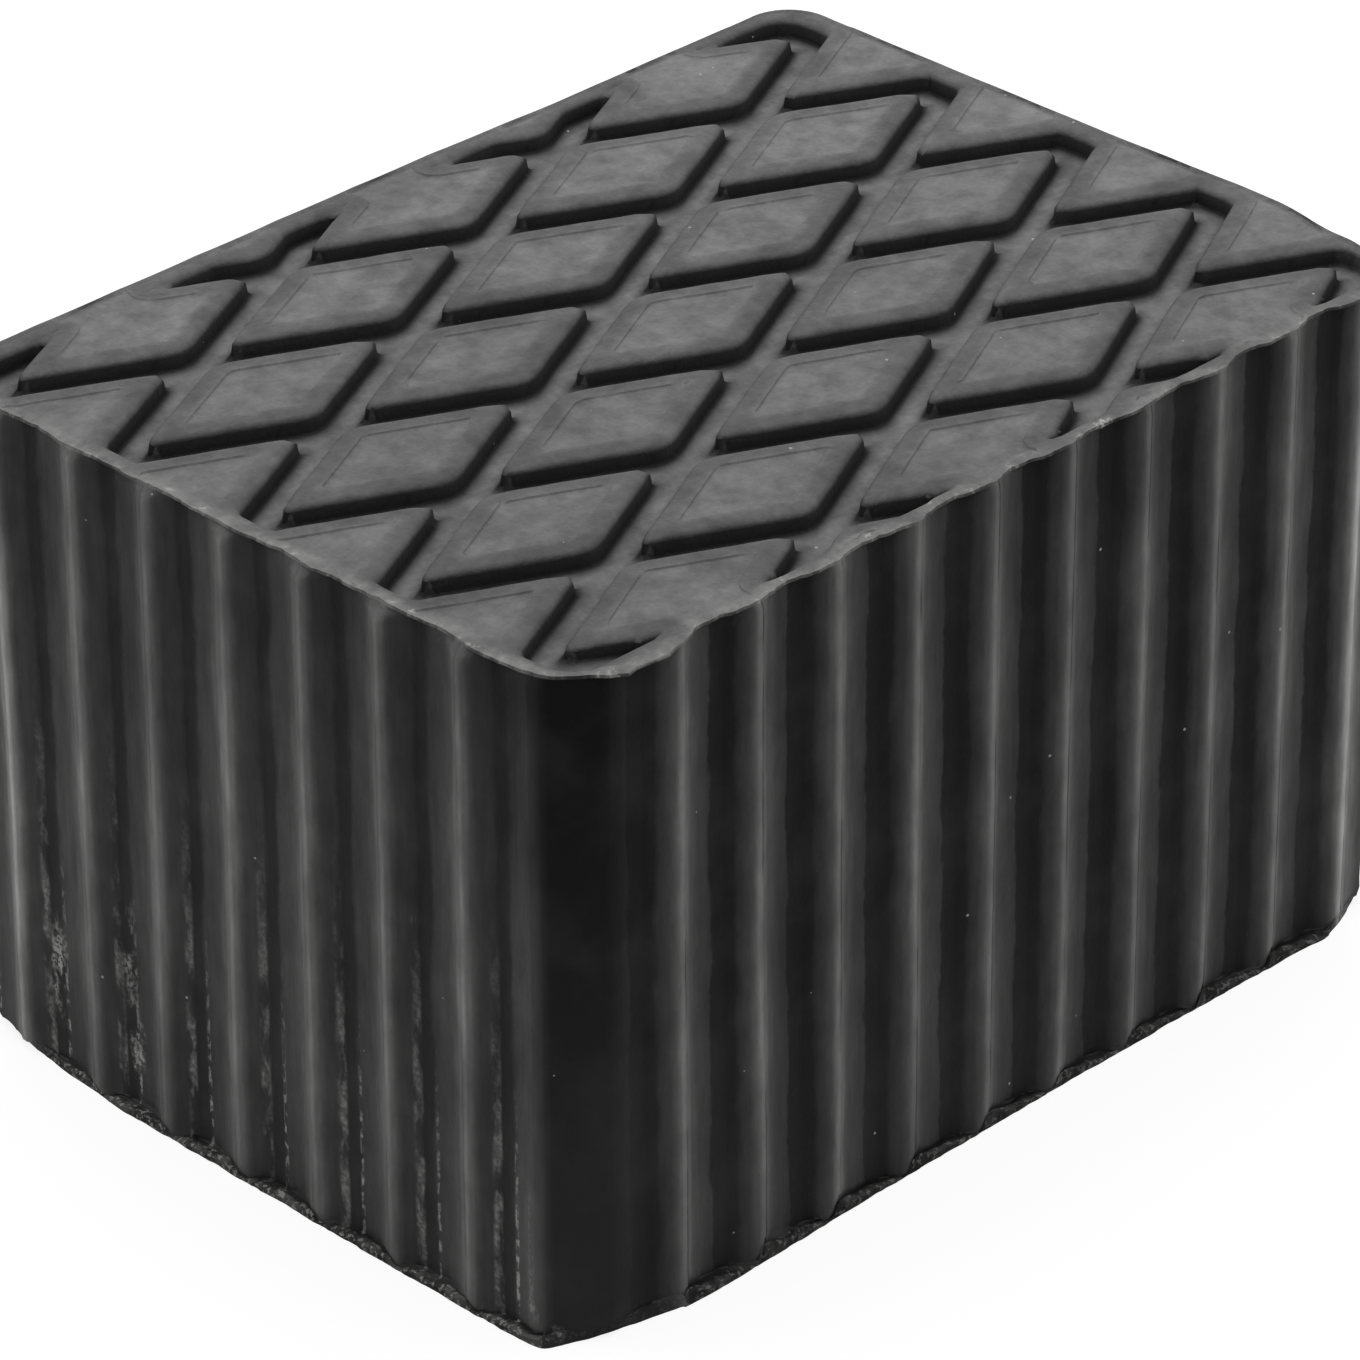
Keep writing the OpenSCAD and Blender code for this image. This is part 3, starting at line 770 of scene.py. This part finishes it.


# Compression-moulded carbon-black rubber (SBR): a near-black dull face, hazed pale
# by bloom and dust where it points up and along the crests, with a painted sheen on
# the up-facing faces and painted highlights along the crests, painted shade on steep
# faces, in the grooves and in the slit behind the lip, torn flash at the edges with
# painted glints, a crumbly lip at the base, rubbed patches low on one side and specks of dust.
def rubberMaterial():
    mat = bpy.data.materials.new("mouldedBlackRubber")
    node = emptyTree(mat)
    multiply, add = {"operation": "MULTIPLY"}, {"operation": "ADD"}
    clamped = {"operation": "MULTIPLY", "use_clamp": True}
    most, less = {"operation": "MAXIMUM"}, {"operation": "SUBTRACT"}
    colours, openColours = {"data_type": "RGBA"}, {"data_type": "RGBA", "clamp_factor": False}
    where = (node("TexCoord"), "Object")
    # by the slope: up-facing faces take the pale tread colour, dust and bloom with a painted sheen; steep
    # faces take the dark side colour, with painted shade across the rounded edges between
    up = node("SeparateXYZ", links={0: (node("NewGeometry"), "Normal")})
    slopeLightMask = node("MapRange", {"interpolation_type": "SMOOTHSTEP"}, {"From Min": 0.25, "From Max": 0.75},
                  {"Value": (up, "Z")})
    mask = {name: (node("Attribute", {"attribute_name": name}), "Fac")
            for name in ("zone", "bloom", "web", "recess", "haze", "slide", "torn", "short", "left", "top")}
    slopeLightMask = node("Math", most, None, {0: slopeLightMask, 1: mask["top"]})
    noise, factor = {}, {}
    for name, (size, detail, rough, stretch) in rubber["noises"].items():
        drawn = where
        if stretch != 1:
            drawn = node("Mapping", None, {"Scale": (1, 1, stretch)}, {"Vector": where})
        noise[name] = node("TexNoise", None, {"Scale": 1000 / size, "Detail": detail, "Roughness": rough},
                           {"Vector": drawn})
    for name, (source, low, high, first, last) in rubber["factors"].items():
        factor[name] = node("MapRange", None,
                            {"From Min": low, "From Max": high, "To Min": first, "To Max": last},
                            {"Value": noise[source]})
    # tread: zone, the tone with its painted light and shade, times mottling and grain
    shade = factor["mottle"]
    for part in (factor["grain"], factor["patch"]):
        shade = node("Math", multiply, None, {0: shade, 1: part})
    zoned = node("Math", multiply, None, {0: mask["zone"], 1: shade})
    treadColour = node("Mix", openColours, {"A": linear(rubber["base"]), "B": linear(rubber["tread"])},
                       {"Factor": zoned})
    # place across the flutes, in pitches past a crest, wandering most between crests
    axes = node("SeparateXYZ", links={0: where})
    pitches = []
    for axis, size, first in (("X", "long", "firstLong"), ("Y", "wide", "firstShort")):
        start = (pad[size] / 2 - pad[first]) / pitch
        pitches.append(node("Math", {"operation": "MULTIPLY_ADD"}, {1: 1000 / pitch, 2: start},
                            {0: (axes, axis)}))
    along = node("Mix", {"data_type": "FLOAT"}, None,
                 {"Factor": mask["short"], "A": pitches[0], "B": pitches[1]})
    along = node("Math", less, None, {0: along, 1: mask["slide"]})
    past = node("Math", {"operation": "FRACT"}, None, {0: along})
    fromMiddle = node("Math", less, {1: 0.5}, {0: past})
    fromMiddle = node("Math", {"operation": "ABSOLUTE"}, None, {0: fromMiddle})
    least, widest = (mm / pitch for mm in rubber["stray"])
    loose = node("MapRange", None, {"From Min": 0.45, "From Max": 0.28, "To Min": least, "To Max": widest},
                 {"Value": fromMiddle})
    wander = node("Math", {"operation": "MULTIPLY_ADD"}, None, {0: factor["wobble"], 1: loose, 2: along})
    wander = node("Math", {"operation": "FRACT"}, None, {0: wander})
    ramps = []
    for table in (rubber["bloomAndLightLong"], rubber["bloomAndLightShort"]):
        ramp = node("ValToRGB", None, None, {"Fac": wander})
        stops = ramp.color_ramp.elements
        while len(stops) < len(table):
            stops.new(0.5)
        for stop, (mm, lined, plain) in zip(stops, table):
            stop.position = mm / pitch
            stop.color = (lined, plain, 0, 1)
        ramps.append(ramp)
    across = node("Mix", colours, None, {"Factor": mask["short"], "A": ramps[0], "B": ramps[1]})
    across = node("SeparateColor", None, None, {"Color": across})
    across = node("Mix", {"data_type": "FLOAT"}, None,
                  {"Factor": factor["single"], "A": (across, "Red"), "B": (across, "Green")})
    # sides: bloom with its painted highlights, times streaks, plus a thin haze in clouds and towards the
    # base
    haze = node("Math", add, None, {0: mask["haze"], 1: factor["haze"]})
    streaked = factor["drift"]
    for part in (factor["streak"], mask["bloom"], across, factor["lumps"]):
        streaked = node("Math", multiply, None, {0: streaked, 1: part})
    streaked = node("Math", add, None, {0: streaked, 1: haze})
    sideColour = node("Mix", openColours, {"A": linear(rubber["base"]), "B": linear(rubber["bloomAndHighlight"])},
                      {"Factor": streaked})
    colour = node("Mix", colours, None, {"Factor": slopeLightMask, "A": sideColour, "B": treadColour})
    # the base lip: crumbly, and palest on the left side
    crumbly = node("Math", {"operation": "MULTIPLY_ADD", "use_clamp": True}, {1: 0.25},
                   {0: factor["rub"], 2: factor["crumb"]})
    lipColour = node("Mix", colours, {"A": linear(rubber["lip"]), "B": linear(rubber["crumbs"])},
                     {"Factor": crumbly})
    lipSide = node("MapRange", None, {"To Min": 0.55, "To Max": 1.0}, {"Value": mask["left"]})
    lipColour = node("Mix", colours, {"A": linear(rubber["base"])}, {"Factor": lipSide, "B": lipColour})
    colour = node("Mix", colours, None, {"Factor": mask["web"], "A": colour, "B": lipColour})
    # the torn flash along the top edge, in ragged patches
    ragged = node("Math", multiply, None, {0: mask["torn"], 1: factor["rag"]})
    for name in ("edge", "frayed"):
        ragged = node("Math", clamped, None, {0: ragged, 1: factor[name]})
    # rubbed patches: round falloff in a stretched box, broken up by the grain
    pale = None
    for place, half, share in rubber["scuffs"]:
        local = node("Mapping", {"vector_type": "TEXTURE"},
                     {"Location": [v * 0.001 for v in place], "Scale": [v * 0.001 for v in half]},
                     {"Vector": where})
        far = node("VectorMath", {"operation": "LENGTH"}, None, {0: local})
        spread = node("MapRange", {"interpolation_type": "SMOOTHSTEP"},
                      {"From Min": 1.0, "From Max": 0.3, "To Max": share}, {"Value": far})
        pale = node("Math", most, None, {0: pale, 1: spread}) if pale else spread
    for settings, name in ((multiply, "rub"), (clamped, "crushed")):
        pale = node("Math", settings, None, {0: pale, 1: factor[name]})
    for name, middle, half, soft, reach, share in rubber["rubbing"]:
        off = node("Math", less, {1: middle / pitch}, {0: past})
        off = node("Math", {"operation": "ABSOLUTE"}, None, {0: off})
        none, full = (half + soft) / pitch, half / pitch
        line = node("MapRange", None, {"From Min": none, "From Max": full, "To Max": share}, {"Value": off})
        below = node("MapRange", None, {"From Min": reach * 0.001, "From Max": reach * 0.0002},
                     {"Value": (axes, "Z")})
        for part in (below, factor[name], factor["dots"], mask["left"], mask["bloom"]):
            line = node("Math", clamped, None, {0: line, 1: part})
        pale = node("Math", most, None, {0: pale, 1: line})
    offWeb = node("Math", less, {0: 1.0}, {1: mask["web"]})
    pale = node("Math", multiply, None, {0: pale, 1: offWeb})
    # dust: a grain where a random point lies close to the surface
    dust = node("TexVoronoi", None, {"Scale": 1000 / rubber["dustSpacing"]}, {"Vector": where})
    speck = node("Math", {"operation": "LESS_THAN"}, {1: rubber["dustSize"]}, {0: dust})
    # white flecks where the flash tore: painted glints on it
    flashGlints = node("Math", {"operation": "GREATER_THAN"}, {1: 0.8}, {0: mask["torn"]})
    for name in ("fleck", "crushed"):
        flashGlints = node("Math", multiply, None, {0: flashGlints, 1: factor[name]})
    for part in (speck, flashGlints):
        pale = node("Math", most, None, {0: pale, 1: part})
    # painted shade in the recess behind the lip, then the torn flash, and the scuffs, dust and painted
    # glints
    for tint, share in (("recess", mask["recess"]), ("tornEdge", ragged), ("scuff", pale)):
        colour = node("Mix", colours, {"B": linear(rubber[tint])}, {"Factor": share, "A": colour})
    relief = node("Math", add, None, {0: noise["grain"], 1: noise["streak"]})
    bump = node("Bump", None, {"Strength": rubber["bump"], "Distance": rubber["bumpHigh"]},
                {"Height": relief})
    shader = node("BsdfPrincipled", None, {"Roughness": rubber["roughness"], "IOR": rubber["ior"]},
                  {"Base Color": colour, "Normal": bump})
    node("OutputMaterial", links={"Surface": shader})
    return mat


padBlock = makePad()
padBlock.data.materials.append(rubberMaterial())
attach(padBlock, "root")
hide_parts("rubber_block")
print("pad built:", len(padBlock.data.polygons), "faces")

# Lengths in metres, greys linear, powers in watts.
stage = {
    "floorSize": 6.0,
    "floorGrey": 0.75,       # the floor in the block's own light
    "floorGlossy": 0.12,     # its strength in the rubber's sheen
    "floorWhite": 0.86, "floorShadow": 0.30,    # the camera sees it white, with a soft shadow
    "worldFill": 0.10, "worldWhite": 1.0,       # the room's light, and its white to the camera
    # soft boxes: place, target, width and height, power
    "lamps": {
        "topBox": ((0.0, 0.05, 1.2), (0, 0, 0.09), (1.6, 1.6), 11),
        "backBox": ((0.9, 0.9, 0.55), (0, 0, 0.05), (2.0, 1.0), 3.4),
        "rightBox": ((1.05, -0.6, 0.4), (0, 0, 0.05), (0.9, 0.7), 1.4),
        "leftBox": ((-0.6, 1.05, 0.4), (0, 0, 0.05), (0.9, 0.7), 1.4),
    },
    # camera fitted to the photo: place, directions, lens and sensor in mm
    "cameraPlace": (-0.625212, -0.620844, 0.553416),
    "forward": (0.613221, 0.610253, -0.501548), "right": (0.704131, -0.710064, -0.003053),
    "lens": 201.72, "sensor": 36.0,
}


# White to the camera, plain grey to other rays, and dim to glossy ones.
def makeFloor():
    s = stage["floorSize"] / 2
    mesh = bpy.data.meshes.new("paleFloor")
    mesh.from_pydata([(-s, -s, 0), (s, -s, 0), (s, s, 0), (-s, s, 0)], [], [(0, 1, 2, 3)])
    mat = bpy.data.materials.new("whiteSweep")
    node = emptyTree(mat)
    path = node("LightPath")
    plain, thin = (node("BsdfDiffuse", None, {"Color": (*[stage[name]] * 3, 1)}) for name in ("floorGrey",
                        "floorShadow"))
    glow, dim = (node("Emission", None, {"Strength": stage[name]}) for name in ("floorWhite",
                      "floorGlossy"))
    both = node("AddShader", None, None, {0: thin, 1: glow})
    unlit = node("MixShader", None, None, {0: (path, "Is Glossy Ray"), 1: plain, 2: dim})
    mix = node("MixShader", None, None, {0: (path, "Is Camera Ray"), 1: unlit, 2: both})
    node("OutputMaterial", links={"Surface": mix})
    mesh.materials.append(mat)
    addObject("paleFloor", mesh)


# White to the camera, and a faint even light to the rest.
def makeWorld():
    world = bpy.data.worlds.new("paleRoom")
    bpy.context.scene.world = world
    node = emptyTree(world)
    path = node("LightPath")
    fill, white = (node("Background", None,
                        {"Color": (1, 1, 1, 1), "Strength": stage[name]}) for name in ("worldFill",
                        "worldWhite"))
    mix = node("MixShader", None, None, {0: (path, "Is Camera Ray"), 1: fill, 2: white})
    node("OutputWorld", links={"Surface": mix})


# A soft box, turned to its target.
def softBox(name, place, target, size, power):
    light = bpy.data.lights.new(name, "AREA")
    light.shape = "RECTANGLE"
    light.size, light.size_y = size
    light.energy = power
    lamp = addObject(name, light)
    lamp.location = place
    lamp.rotation_euler = (Vector(target) - Vector(place)).to_track_quat("-Z", "Y").to_euler()


def makeCamera():
    data = bpy.data.cameras.new("photoCamera")
    data.sensor_width = stage["sensor"]
    data.lens = stage["lens"]
    cam = addObject("photoCamera", data)
    forward, right = Vector(stage["forward"]).normalized(), Vector(stage["right"]).normalized()
    turn = Matrix((right, right.cross(forward), -forward)).transposed().to_4x4()
    cam.matrix_world = Matrix.Translation(stage["cameraPlace"]) @ turn
    bpy.context.scene.camera = cam


makeFloor()
makeWorld()
for name, settings in stage["lamps"].items():
    softBox(name, *settings)
makeCamera()
bpy.context.scene.view_settings.view_transform = "Standard"
print("stage ready")
